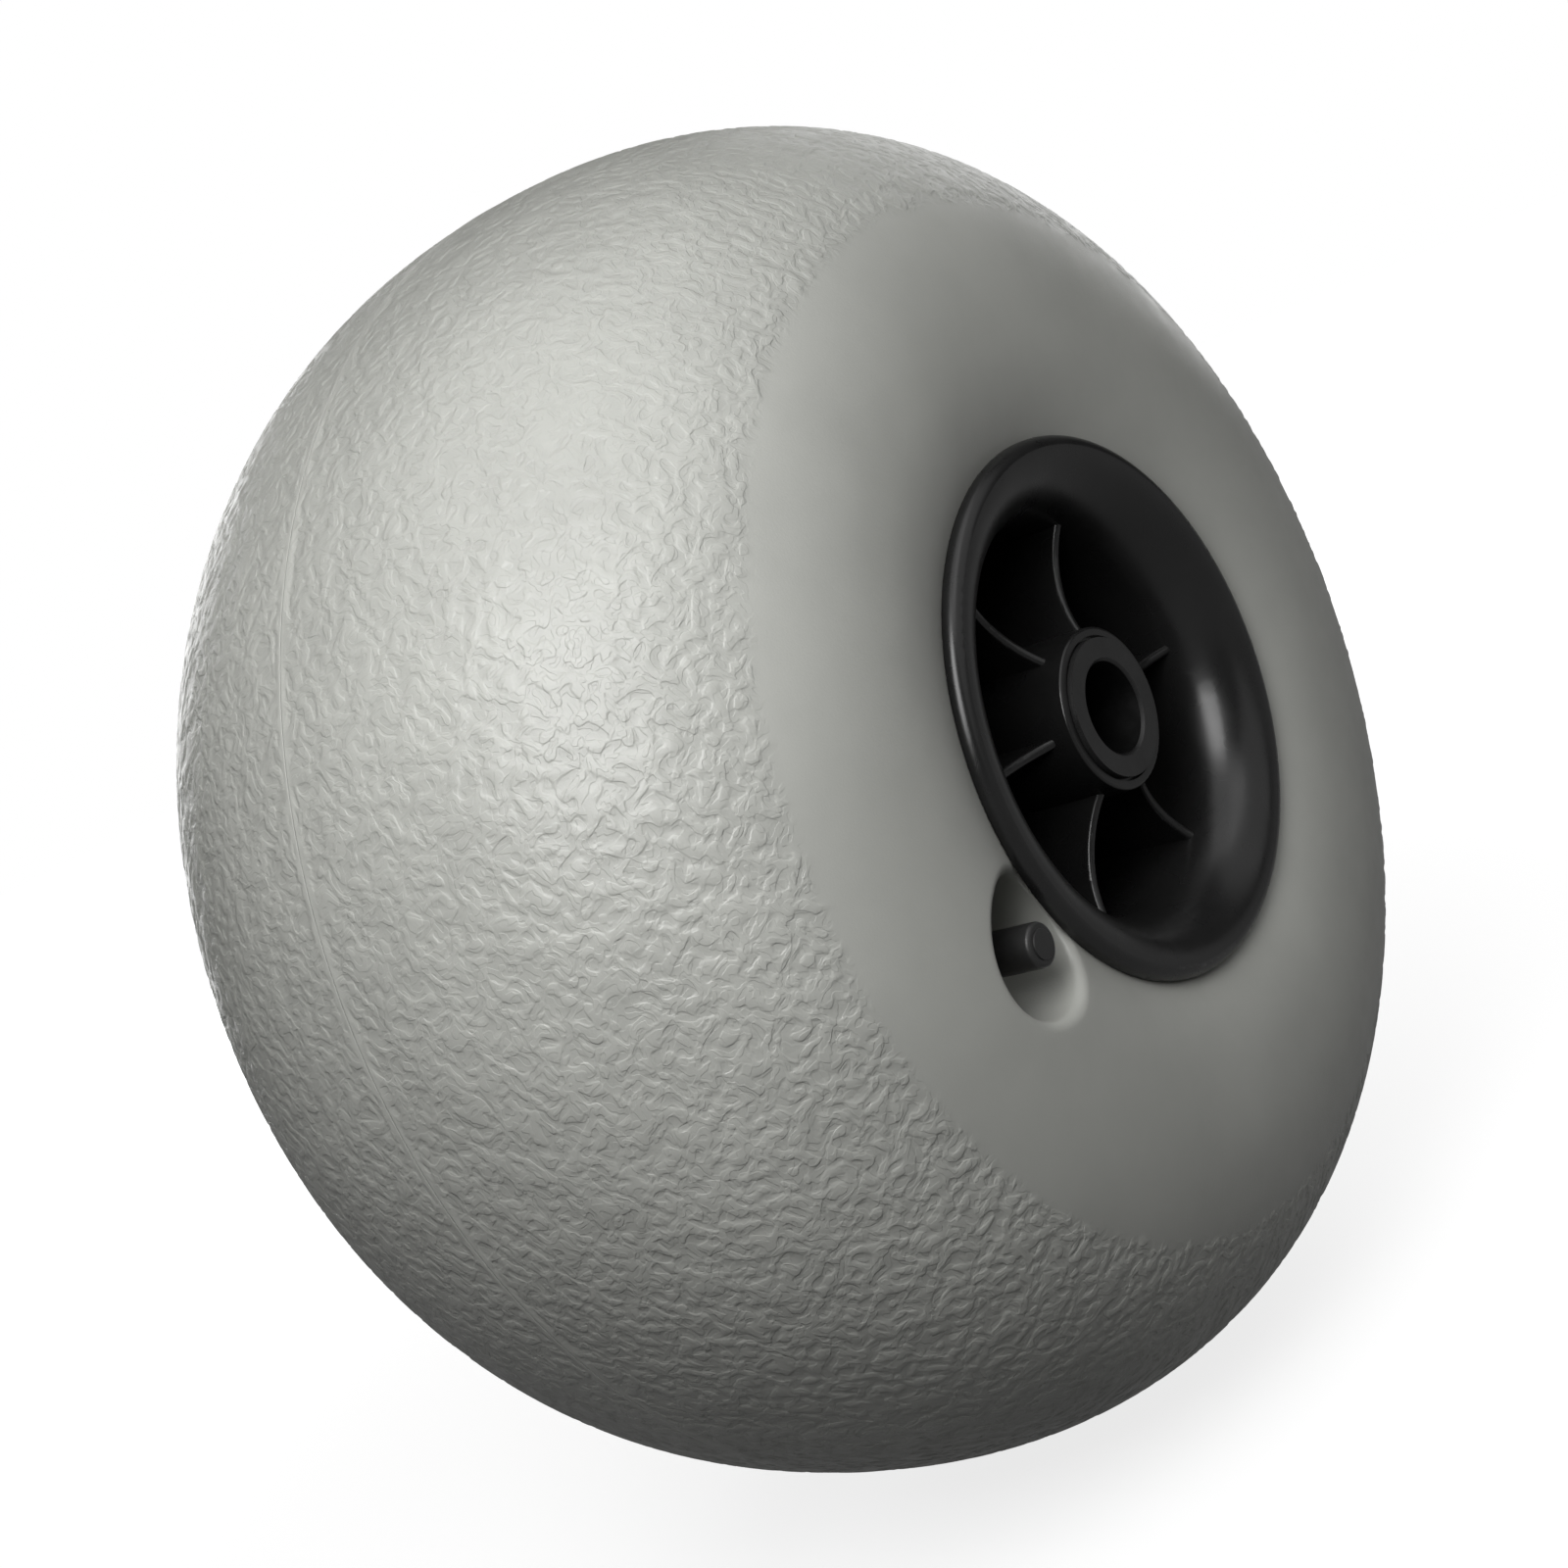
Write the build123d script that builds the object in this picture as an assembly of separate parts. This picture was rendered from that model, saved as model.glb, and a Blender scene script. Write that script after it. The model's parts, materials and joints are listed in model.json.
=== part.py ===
from build123d import *
import math
import os

# A balloon wheel for soft sand, in millimetres.
# The origin is the wheel's centre, the axle runs along Y, the valve side faces -Y, and Z is up.
# Sections are drawn in the XY plane as (radius, y) and revolved about Y.

# Tyre
tyre_radius = 150.0
tyre_half_width = 87.2
crest_radius = 80.0  # where the sidewall stands out furthest
crown_power = 2.2  # exponent of the superellipse from the tread's middle to the sidewall's crest
bead_depth = 13.2  # how far the sidewall drops from its crest to the bore
tyre_wall = 2.8
parting_ridge_width = 1.8
parting_ridge_height = 0.35

# Hub half, with its depths measured from the sidewall's crest
barrel_radius = 46.0
barrel_wall = 3.5
barrel_draft = 0.9  # how much the inside narrows from mouth to web
bell_depth = 19.2  # where the barrel begins to flare
bell_center_radius = 55.5
bell_rise = 17.5  # height of the flare's inner curve
bell_wall = 3.2  # thickness at the lip
lip_radius = 58.2
web_thickness = 3.0
tyre_fit = 0.15  # gap between the tyre and the hub it is stretched over

# Boss in the hub's middle
boss_radius = 17.6
boss_draft = 0.9
boss_depth = 7.2
boss_edge_round = 0.6
boss_bore_radius = 12.5

# Ribs between boss and barrel
rib_count = 6
rib_thickness = 2.2
rib_depth = 11.2  # at the boss
rib_outer_depth = 14.0  # at the barrel
rib_dip = 3.6  # depth of the hollow in a rib's top edge
rib_edge_round = 0.95

# Pegs and sockets that join the two hub halves at the mid-plane
peg_circle_radius = 30.5
peg_radius = 3.0
peg_length = 6.0
peg_fit = 0.05
peg_end_gap = 0.5
peg_boss_radius = 5.5
peg_boss_top = 9.0

# Axle bushes
axle_bore_radius = 10.0
bush_radius = 13.5
bush_fit = 0.03
bush_length = 32.0  # below its flange
bush_flange_radius = 15.0
bush_flange_thickness = 2.2
bush_flange_proud = 1.0  # how far the flange stands out of the boss
flange_groove = 0.7  # open ring round the flange
bush_chamfer = 0.6

# Valve pocket in the front sidewall
valve_circle_radius = 69.6
valve_angle = 201.7  # degrees from +X towards +Z
pocket_depth = 22.2  # floor below the sidewall's crest
pocket_floor_radius = 13.0
pocket_mouth_radius = 14.5
pocket_floor_round = 4.0
pocket_mouth_round = 2.5
valve_hole_radius = 5.65

# Rubber valve body, measured from the pocket's floor
button_radius = 9.5
button_thickness = 4.5
button_round = 1.6
neck_fit = 0.05
collar_radius = 7.3
collar_height = 4.8
stem_radius = 4.7
stem_top = 8.4

# Brass valve tube
tube_radius = 3.85
tube_bore_radius = 2.65
tube_lower_bore_radius = 2.0
tube_top = 17.9
tube_seat = 12.9  # where the bore starts to narrow
tube_seat_height = 1.4
tube_anchor_radius = 6.0
tube_anchor_thickness = 1.0
tube_anchor_depth = 5.6  # below the pocket's floor

# Valve core
core_fit = 0.05
core_top_gap = 0.6  # below the tube's top
core_head_length = 4.0
core_barrel_radius = 1.75
core_barrel_bottom = 6.5
core_bore_radius = 1.3
core_guide_radius = 0.66
core_end_wall = 0.9
core_slot_width = 1.0
core_slot_depth = 1.2

# Tapered seal on the core
core_seal_height = 1.2

# Core pin, its seal and its spring
pin_radius = 0.6
pin_top_gap = 0.3  # below the tube's top
pin_collar_radius = 1.2
pin_collar_bottom = 13.0
pin_collar_height = 0.6
pin_head_height = 0.4
pin_seal_radius = 1.6
pin_seal_height = 1.0
pin_clearance = 0.02
spring_wire_radius = 0.14
spring_turns = 7
spring_gap = 0.02

# Valve cap and its gasket
cap_radius = 4.5
cap_bore_radius = 3.93
cap_length = 13.4
cap_base_gap = 0.2  # above the rubber stem
cap_edge_round = 0.9
cap_disc_radius = 3.0  # raised disc in the middle of its end
cap_disc_height = 0.3
cap_disc_round = 0.12
gasket_thickness = 1.0
gasket_hole_radius = 1.5
gasket_gap = 0.1

# Sizes that follow from those above, with heights measured from the mid-plane
tyre_bore_radius = barrel_radius + tyre_fit
sidewall_dip_radius = ((crest_radius - tyre_bore_radius) ** 2 + bead_depth**2) / (2 * bead_depth)
bell_start = tyre_half_width - bell_depth
boss_face = tyre_half_width - boss_depth
rib_top = tyre_half_width - rib_depth
rib_outer_top = tyre_half_width - rib_outer_depth
pocket_floor = tyre_half_width - pocket_depth
bell_outer_radius = bell_center_radius - barrel_radius
bell_inner_radius = bell_outer_radius + barrel_wall
bell_outer_rise = bell_rise - bell_wall
lip_underside = bell_start + bell_outer_rise
lip_round = lip_radius - bell_center_radius
barrel_inner_radius = barrel_radius - barrel_wall
flange_seat = boss_face + bush_flange_proud - bush_flange_thickness
cap_tip = stem_top + cap_base_gap + cap_length
valve_frame = Plane(
    origin=(
        valve_circle_radius * math.cos(math.radians(valve_angle)),
        -pocket_floor,
        valve_circle_radius * math.sin(math.radians(valve_angle)),
    ),
    x_dir=(1, 0, 0),
    z_dir=(0, -1, 0),
)


def revolved(*outline):
    """Solid turned about Y from a closed outline of edges in the XY plane."""
    return revolve(make_face(Wire(outline)), axis=Axis.Y)


def ring(inner_radius, outer_radius, low, high):
    """Plain turned ring about Y between two heights."""
    outline = Polyline(
        (inner_radius, low), (outer_radius, low), (outer_radius, high), (inner_radius, high), close=True
    )
    return revolve(make_face(outline), axis=Axis.Y)


def bell_arc(reach, rise):
    """Quarter ellipse from the lip's underside or crest down to the barrel's wall."""
    return EllipticalCenterArc((bell_center_radius, bell_start), reach, rise, start_angle=90, arc_size=90)


def turned(*points):
    """Solid turned about Z from (radius, height) points, for the valve's pieces."""
    outline = Polyline(*[(radius, 0, height) for radius, height in points], close=True)
    return revolve(make_face(outline), axis=Axis.Z)


def tube(inner_radius, outer_radius, low, high):
    """Plain tube about Z between two heights."""
    return turned((inner_radius, low), (outer_radius, low), (outer_radius, high), (inner_radius, high))


def rod(radius, low, high):
    """Plain rod about Z between two heights."""
    return turned((0, low), (radius, low), (radius, high), (0, high))


# Tyre


def crown_point(degrees, inset):
    """Point of the superellipse from the tread's middle (0) to the sidewall's crest (90)."""
    share = 2 / crown_power
    across = math.cos(math.radians(degrees)) ** share
    along = math.sin(math.radians(degrees)) ** share
    return (
        crest_radius + (tyre_radius - crest_radius - inset) * across,
        (tyre_half_width - inset) * along,
    )


def balloon(inset):
    """Solid inside the tyre's outer skin, moved inwards by inset all round."""
    inner_radius = tyre_bore_radius + inset
    crest = tyre_half_width - inset
    dip_radius = sidewall_dip_radius - inset
    dip_center = tyre_half_width - sidewall_dip_radius
    dip_end = dip_center + math.sqrt(dip_radius**2 - (crest_radius - inner_radius) ** 2)
    tread_middle = (tyre_radius - inset, 0)
    crown = [tread_middle]
    crown += [crown_point(degrees, inset) for degrees in (15, 30, 45, 60, 75)]
    crown += [(crest_radius, crest)]
    half = revolved(
        Line((inner_radius, 0), tread_middle),
        Spline(*crown, tangents=[(0, 1), (-1, 0)]),
        RadiusArc((crest_radius, crest), (inner_radius, dip_end), -dip_radius),
        Line((inner_radius, dip_end), (inner_radius, 0)),
    )
    return half + mirror(half, about=Plane.XZ)


def pocket(inset):
    """Space of the valve pocket, from its floor out past the sidewall, grown by inset."""
    reach = tyre_half_width - pocket_floor
    draft = (pocket_mouth_radius - pocket_floor_radius) / reach
    top = reach + tyre_wall
    shape = turned(
        (0, -inset),
        (pocket_floor_radius + inset, -inset),
        (pocket_floor_radius + inset + draft * top, top),
        (0, top),
    )
    floor_edge = shape.edges().sort_by(Axis.Z)[0]
    return valve_frame * fillet(floor_edge, pocket_floor_round)


def hub_envelope(gap):
    """Everything that the hub's outside fills, grown by gap, for the tyre's seat."""
    outer = bell_outer_radius - gap
    rise = bell_outer_rise - gap
    mouth = bell_start + rise
    past = tyre_half_width + tyre_wall
    half = revolved(
        Line((0, 0), (barrel_radius + gap, 0)),
        Line((barrel_radius + gap, 0), (barrel_radius + gap, bell_start)),
        bell_arc(outer, rise),
        Line((bell_center_radius, mouth), (bell_center_radius, past)),
        Line((bell_center_radius, past), (0, past)),
        Line((0, past), (0, 0)),
    )
    return half + mirror(half, about=Plane.XZ)


def make_tyre():
    outside = balloon(0) - pocket(0)
    mouth_edges = [
        edge
        for edge in outside.edges()
        if edge.center().Y < -(pocket_floor + pocket_floor_round)
        and (edge.center() - valve_frame.origin).cross(Vector(0, 1, 0)).length < 1.2 * pocket_mouth_radius
    ]
    outside = fillet(mouth_edges, pocket_mouth_round)
    cavity = balloon(tyre_wall) - pocket(tyre_wall)
    ridge_foot = tyre_radius - parting_ridge_height
    ridge = revolved(
        Line((ridge_foot, parting_ridge_width / 2), (ridge_foot, -parting_ridge_width / 2)),
        ThreePointArc(
            (ridge_foot, -parting_ridge_width / 2),
            (tyre_radius + parting_ridge_height, 0),
            (ridge_foot, parting_ridge_width / 2),
        ),
    )
    valve_hole = valve_frame * rod(valve_hole_radius, -2 * tyre_wall, tyre_wall)
    return outside + ridge - hub_envelope(tyre_fit) - cavity - valve_hole


# Hub


def barrel_and_bell():
    mouth = bell_start + bell_rise
    lip_side = mouth - lip_round
    web_radius = barrel_inner_radius - barrel_draft
    return revolved(
        Line((web_radius, 0), (barrel_radius, 0)),
        Line((barrel_radius, 0), (barrel_radius, bell_start)),
        bell_arc(bell_outer_radius, bell_outer_rise),
        Line((bell_center_radius, lip_underside), (lip_radius, lip_underside)),
        Line((lip_radius, lip_underside), (lip_radius, lip_side)),
        CenterArc((bell_center_radius, lip_side), lip_round, 0, 90),
        bell_arc(bell_inner_radius, bell_rise),
        Line((barrel_inner_radius, bell_start), (web_radius, 0)),
    )


def boss():
    outline = Polyline(
        (boss_bore_radius, 0), (boss_radius + boss_draft, 0), (boss_radius, boss_face), (boss_bore_radius, boss_face),
        close=True,
    )
    blank = revolve(make_face(outline), axis=Axis.Y)
    outer_edge = blank.edges().filter_by(GeomType.CIRCLE).group_by(Axis.Y)[-1].sort_by(SortBy.RADIUS)[-1]
    return fillet(outer_edge, boss_edge_round)


def rib():
    """One rib along +X, with a hollowed top edge that is rounded along both sides."""
    inner = boss_radius - boss_draft
    outer = bell_center_radius - bell_inner_radius + barrel_wall / 2
    middle = (boss_radius + outer) / 2
    hollow = (rib_top + rib_outer_top) / 2 - rib_dip
    side = make_face(
        Wire(
            [
                Line((inner, 0), (outer, 0)),
                Line((outer, 0), (outer, rib_outer_top)),
                ThreePointArc((outer, rib_outer_top), (middle, hollow), (inner, rib_top)),
                Line((inner, rib_top), (inner, 0)),
            ]
        )
    )
    blank = extrude(side, amount=rib_thickness / 2, both=True)
    top_face = blank.faces().filter_by(GeomType.CYLINDER)[0]
    return fillet(top_face.edges().filter_by(GeomType.CIRCLE), rib_edge_round)


def on_peg_circle(shape, degrees):
    """Moves a shape turned about Y from the axle's line to the peg circle."""
    return Pos(
        peg_circle_radius * math.cos(math.radians(degrees)),
        0,
        peg_circle_radius * math.sin(math.radians(degrees)),
    ) * shape


def make_hub_half():
    """Hub half that faces +Y. Pegs and sockets take turns, so a half turned over about X meets it."""
    pocket_angle = 360 / rib_count
    half = barrel_and_bell() + boss() + ring(boss_radius, barrel_inner_radius, 0, web_thickness)
    half += [Rot(0, -pocket_angle * i, 0) * rib() for i in range(rib_count)]
    sockets = []
    for i in range(rib_count):
        degrees = pocket_angle * (i + 0.5)
        half += on_peg_circle(ring(0, peg_boss_radius, 0, peg_boss_top), degrees)
        if i % 2 == 0:
            half += on_peg_circle(ring(0, peg_radius, -peg_length, web_thickness), degrees)
        else:
            socket = ring(0, peg_radius + peg_fit, 0, peg_length + peg_end_gap)
            sockets.append(on_peg_circle(socket, degrees))
    half -= sockets
    half -= ring(0, bush_radius + bush_fit, flange_seat - bush_length, boss_face)
    half -= ring(0, bush_flange_radius + flange_groove, flange_seat, boss_face)
    return half


def make_bush():
    """Flanged bush in the half that faces +Y."""
    flange_top = flange_seat + bush_flange_thickness
    body = ring(axle_bore_radius, bush_radius, flange_seat - bush_length, flange_seat)
    body += ring(axle_bore_radius, bush_flange_radius, flange_seat, flange_top)
    ends = body.edges().filter_by(GeomType.CIRCLE).filter_by(lambda e: abs(e.radius - axle_bore_radius) < 1e-6)
    return chamfer([ends.sort_by(Axis.Y)[0], ends.sort_by(Axis.Y)[-1]], bush_chamfer)


# Valve, along its own Z from the pocket's floor


def make_valve_body():
    neck_radius = valve_hole_radius - neck_fit
    button_top = -tyre_wall
    button_bottom = button_top - button_thickness
    blank = turned(
        (tube_lower_bore_radius, button_bottom),
        (button_radius, button_bottom),
        (button_radius, button_top),
        (neck_radius, button_top),
        (neck_radius, 0),
        (collar_radius, 0),
        (stem_radius, collar_height),
        (stem_radius, stem_top),
        (tube_lower_bore_radius, stem_top),
    )
    bottom_edge = blank.edges().filter_by(GeomType.CIRCLE).group_by(Axis.Z)[0].sort_by(SortBy.RADIUS)[-1]
    return fillet(bottom_edge, button_round) - valve_tube_blank()


def valve_tube_blank():
    """Outside of the brass tube, with the anchor disc that is moulded into the rubber."""
    bottom = -tube_anchor_depth
    return rod(tube_radius, bottom, tube_top) + rod(tube_anchor_radius, bottom, bottom + tube_anchor_thickness)


def make_valve_tube():
    bottom = -tube_anchor_depth
    bore = turned(
        (0, bottom),
        (tube_lower_bore_radius, bottom),
        (tube_lower_bore_radius, tube_seat - tube_seat_height),
        (tube_bore_radius, tube_seat),
        (tube_bore_radius, tube_top),
        (0, tube_top),
    )
    return valve_tube_blank() - bore


def core_sizes():
    """Head's radius, its bottom and its top."""
    top = tube_top - core_top_gap
    return tube_bore_radius - core_fit, top - core_head_length, top


def make_valve_core():
    head_radius, head_bottom, top = core_sizes()
    body = rod(core_barrel_radius, core_barrel_bottom, head_bottom) + rod(head_radius, head_bottom, top)
    spring_space = rod(core_bore_radius, core_barrel_bottom + core_end_wall, top - core_end_wall)
    guide = rod(core_guide_radius, core_barrel_bottom, top)
    slot = Pos(0, 0, top - core_slot_depth / 2) * Box(2 * head_radius, core_slot_width, core_slot_depth)
    return body - spring_space - guide - slot


def make_core_seal():
    """Tapered ring between the core's head and the narrowing of the tube's bore."""
    narrow = tube_bore_radius - tube_lower_bore_radius
    slope = narrow / tube_seat_height
    head_bottom = core_sizes()[1]
    top_radius = tube_bore_radius - core_fit
    top = min(head_bottom, tube_seat)
    return turned(
        (core_barrel_radius, top - core_seal_height),
        (top_radius - slope * core_seal_height, top - core_seal_height),
        (top_radius, top),
        (core_barrel_radius, top),
    )


def make_pin():
    head_bottom = core_barrel_bottom - pin_seal_height - pin_head_height
    stalk = rod(pin_radius, head_bottom, tube_top - pin_top_gap)
    head = rod(pin_seal_radius, head_bottom, head_bottom + pin_head_height)
    collar = rod(pin_collar_radius, pin_collar_bottom, pin_collar_bottom + pin_collar_height)
    return stalk + head + collar


def make_pin_seal():
    top = core_barrel_bottom - pin_clearance
    return tube(pin_radius, pin_seal_radius, top - pin_seal_height + pin_clearance, top)


def make_spring():
    """Open coil between the floor of the core's bore and the pin's collar."""
    low = core_barrel_bottom + core_end_wall + spring_gap + spring_wire_radius
    high = pin_collar_bottom - spring_gap - spring_wire_radius
    coil_radius = (pin_radius + core_bore_radius) / 2
    path = Pos(0, 0, low) * Helix((high - low) / spring_turns, high - low, coil_radius)
    section = Plane(origin=path @ 0, z_dir=path % 0) * Circle(spring_wire_radius)
    return sweep(section, path=path, is_frenet=True)


def make_cap():
    """Plain cylinder with a rounded edge and a low raised disc on its closed end."""
    base = cap_tip - cap_length
    shoulder = cap_tip - cap_disc_height
    blank = rod(cap_radius, base, shoulder)
    blank = fillet(blank.edges().filter_by(GeomType.CIRCLE).sort_by(Axis.Z)[-1], cap_edge_round)
    disc = rod(cap_disc_radius, shoulder - cap_disc_height, cap_tip)
    disc = fillet(disc.edges().filter_by(GeomType.CIRCLE).sort_by(Axis.Z)[-1], cap_disc_round)
    bore_top = tube_top + 2 * gasket_gap + gasket_thickness
    return blank + disc - rod(cap_bore_radius, base, bore_top)


def make_gasket():
    low = tube_top + gasket_gap
    return tube(gasket_hole_radius, cap_bore_radius - gasket_gap, low, low + gasket_thickness)


# All pieces in place

hub_rear = make_hub_half()
bush_rear = make_bush()
turned_over = Rot(180, 0, 0)

nodes = {
    "tyre": make_tyre(),
    "hub_front": turned_over * hub_rear,
    "hub_rear": hub_rear,
    "bush_front": turned_over * bush_rear,
    "bush_rear": bush_rear,
    "valve_body": valve_frame * make_valve_body(),
    "valve_tube": valve_frame * make_valve_tube(),
    "valve_core": valve_frame * make_valve_core(),
    "valve_core_seal": valve_frame * make_core_seal(),
    "valve_pin": valve_frame * make_pin(),
    "valve_pin_seal": valve_frame * make_pin_seal(),
    "valve_spring": valve_frame * make_spring(),
    "valve_cap": valve_frame * make_cap(),
    "valve_cap_gasket": valve_frame * make_gasket(),
}

os.makedirs("parts", exist_ok=True)
for name, solid in nodes.items():
    export_step(solid, f"parts/{name}.step")
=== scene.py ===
import json
import math

import bmesh
import bpy
import numpy as np
from mathutils import Euler, Matrix, Vector
from mathutils.geometry import delaunay_2d_cdt


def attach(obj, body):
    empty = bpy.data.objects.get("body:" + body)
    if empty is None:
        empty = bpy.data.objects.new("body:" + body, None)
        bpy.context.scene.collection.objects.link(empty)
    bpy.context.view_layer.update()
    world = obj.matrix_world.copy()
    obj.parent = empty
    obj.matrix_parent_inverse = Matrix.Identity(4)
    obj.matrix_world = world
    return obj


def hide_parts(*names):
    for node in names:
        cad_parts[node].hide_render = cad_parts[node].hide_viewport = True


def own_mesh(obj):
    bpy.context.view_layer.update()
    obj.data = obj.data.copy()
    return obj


# Looks for a balloon wheel. Lengths in the mesh code are millimetres, and Blender's own are metres.

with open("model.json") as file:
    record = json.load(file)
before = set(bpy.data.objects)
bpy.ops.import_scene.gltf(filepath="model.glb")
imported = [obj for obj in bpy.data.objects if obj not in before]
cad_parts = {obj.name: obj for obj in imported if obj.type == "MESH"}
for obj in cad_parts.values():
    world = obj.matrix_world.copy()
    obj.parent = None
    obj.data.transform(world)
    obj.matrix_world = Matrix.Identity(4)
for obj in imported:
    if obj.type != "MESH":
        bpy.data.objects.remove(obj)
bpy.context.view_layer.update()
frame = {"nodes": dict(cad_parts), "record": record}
nodes = frame["nodes"]
MM = 0.001

# Section of the tyre: radius from the axle, and height from the mid-plane
TYRE_RADIUS = 150.0
CREST_RADIUS = 80.0
CREST_HEIGHT = 87.2
CROWN_POWER = 2.2
CROWN_POINTS = 4001
WALL = 2.8
BORE_RADIUS = 46.15
BORE_HEIGHT = 34.0
BEAD_DEPTH = 13.2
DIP_RADIUS = ((CREST_RADIUS - BORE_RADIUS) ** 2 + BEAD_DEPTH**2) / (2 * BEAD_DEPTH)

# Flare of the bore round the hub's bell: a quarter ellipse about BELL_CENTER
BELL_CENTER = (55.5, 68.0)
BELL_REACH = 9.35
BELL_RISE = 14.15
BELL_POINTS = 2001
BELL_STEPS = 4

# Sidewall outside and lining inside: radius where each starts, number of rings, and points in a ring
SKIN_START = 103.0
SKIN_RINGS = 21
SKIN_COLUMNS = 240
LINING_START = 92.0
LINING_RINGS = 12
LINING_COLUMNS = 120

# Rings between the tread and the sidewall, as (radius, points), and the lining's points of the crown
THINNING_RINGS = ((106.6, 460), (105.2, SKIN_COLUMNS))
LINING_CROWN = range(250, 3600, 250)

# Valve pocket in the front half, which widens by 1.5 over a depth of 22.2
VALVE_CIRCLE = 69.6
VALVE_ANGLE = math.radians(201.7)
POCKET_X = VALVE_CIRCLE * math.cos(VALVE_ANGLE)
POCKET_Z = VALVE_CIRCLE * math.sin(VALVE_ANGLE)
POCKET_COLUMNS = 72
POCKET_MOUTH_STEPS = 9
POCKET_WALL_SHARES = (0.25, 0.5, 0.75)
POCKET_FLOOR_STEPS = 8
POCKET_FLOOR = 65.0
POCKET_RADIUS = 13.0
POCKET_DRAFT = 1.5 / 22.2
POCKET_RIM_DROP = 3.0
POCKET_FLOOR_ROUND = 4.0
POCKET_MOUTH_ROUND = 2.5
LINING_MOUTH_ROUND = 0.8
VALVE_SEAT = 7.5
VALVE_HOLE = 5.65

# Loose points between the sidewall's rings: how far they keep off the pocket's mouth and the inner
# ring, extra rings of them round the mouth, and tolerances of the triangles made from them
MOUTH_CLEAR = 4.2
MOUTH_STEPS = (1.2, 2.7)
RING_CLEAR = 0.3
MERGE_DISTANCE = 1e-6
IN_RING = 0.9999
IN_MOUTH = 0.999

# Spring in the valve's core, with heights from the pocket's floor
SPRING_LOW = 7.56
SPRING_HIGH = 12.84
SPRING_COIL = 0.95
SPRING_WIRE = 0.14
SPRING_TURNS = 7
SPRING_STEPS = 24 * SPRING_TURNS
SPRING_SIDES = 10

# Fine mesh of the tread: points in a row, and rows between two distances along the section
TREAD_COLUMNS = 920
TREAD_START = 3.0
TREAD_STEP = 1.05
TREAD_END = 107.5
TANGENT_STEP = 0.05

# Leather-like grain, made of waves: islands in patches, with bent outlines and wrinkles on them.
# At the tread's edge the field drops, so that only dots of it are left, and its height fades out
GRAIN_SEED = 7
ISLAND_LENGTH = 3.0
PATCH_LENGTH = 9.0
PATCH_SHARE = 0.5
BEND_LENGTH = 6.5
BEND_REACH = 0.45
WRINKLE_LENGTH = 1.9
RELIEF_EDGE = 111.5
RELIEF_FADE = 3.0
EDGE_DROP = 1.9
FADE_GAIN = 3

# Heights of the grain, and the parts of the field's range over which they rise: relief of the mesh,
# and scarps and wrinkles as bump. Creases get painted shade
RELIEF_HEIGHT = 0.24
RELIEF_RANGE = (-0.9, 0.7)
SCARP_HEIGHT = 0.085
SCARP_RANGE = (-0.6, 0.25)
WRINKLE_HEIGHT = 0.055
WRINKLE_RANGE = (-0.35, 0.35)
CREASE_SHADE_RANGE = (-1.3, -0.2)
CREASE_SHADE_SHARE = 0.08

# Low smooth band where the mould's halves met
SEAM_FLAT = 0.3
SEAM_EDGE = 2.3
SEAM_STATIONS = (0, SEAM_FLAT, 0.7, 1.1, 1.5, 1.9, SEAM_EDGE)
SEAM_HEIGHT = 0.2
SEAM_SHARE = 0.32

# Tyre's surface: its cast, levels of its tones, roughness, and size and height of pores and waves
PUTTY = (1, 1.012, 0.945)
SKIN_LEVELS = (0.355, 0.395)
# Tone of the painted shade that darkens the creases
CREASE_SHADE_LEVEL = 0.2
SEAM_LEVEL = 0.5
SKIN_ROUGHNESS = (0.34, 0.45)
CLOUD_SIZE = 30
SHEEN_SIZE = 6
PORE_SIZE = 0.5
PORE_HEIGHT = 0.04
WAVE_SIZE = 22
WAVE_HEIGHT = 0.25

# Radii between which painted shade darkens the bush's bore
BORE_SHADE_RADII = (10.05, 10.6)

# Parts of a noise's range that are spread over a blend
NOISE_WIDE = (0.3, 0.7)
NOISE_MIDDLE = (0.35, 0.65)

PLASTIC_IOR = 1.5

# Floor, with lengths in metres: it glows for the camera, from FLOOR_SEEN near the wheel to white far
# away, and by FLOOR_MIRRORED in reflections. Its grey, which takes the shadow, is darker for light
# that bounces
FLOOR_REACH = 4.0
FLOOR_LEVEL = -0.1505
FLOOR_NEAR = 0.25
FLOOR_FAR = 0.95
FLOOR_SEEN = 0.8
FLOOR_MIRRORED = 0.2
FLOOR_GREY = 0.3
FLOOR_BOUNCE = 0.06
WORLD_LIGHT = 0.02

# Lamps: name, direction from the wheel's centre, distance and side in metres, and power in watts
LAMPS = (
    ("key", (-0.20, -0.25, 0.95), 1.4, 1.8, 11),
    ("glint", (-0.74, -0.43, 0.50), 0.44, 0.24, 1.3),
    ("front", (0.20, -0.80, 0.50), 1.6, 1.8, 6),
    ("rear", (0.45, 0.88, 0.15), 1.4, 0.8, 9),
    ("far", (0.92, 0.15, 0.30), 1.4, 0.8, 3.5),
)

# Camera, fitted to the photograph: distance in metres, tilt from the axle, small turns away from the
# wheel's centre, roll, and the wheel's turn about its axle, which puts the valve where it is seen
PHOTO_PIXELS = 1600
FOCAL_PIXELS = 2301.97
SENSOR_WIDTH = 36
CAMERA_DISTANCE = 0.5217744
CAMERA_TILT = 0.8838
CAMERA_RIGHT = -0.0171
CAMERA_UP = 0.0098
CAMERA_ROLL = 0.295
WHEEL_TURN = math.radians(168.1)
CLIP_START = 0.01

rng = np.random.default_rng(GRAIN_SEED)


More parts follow.
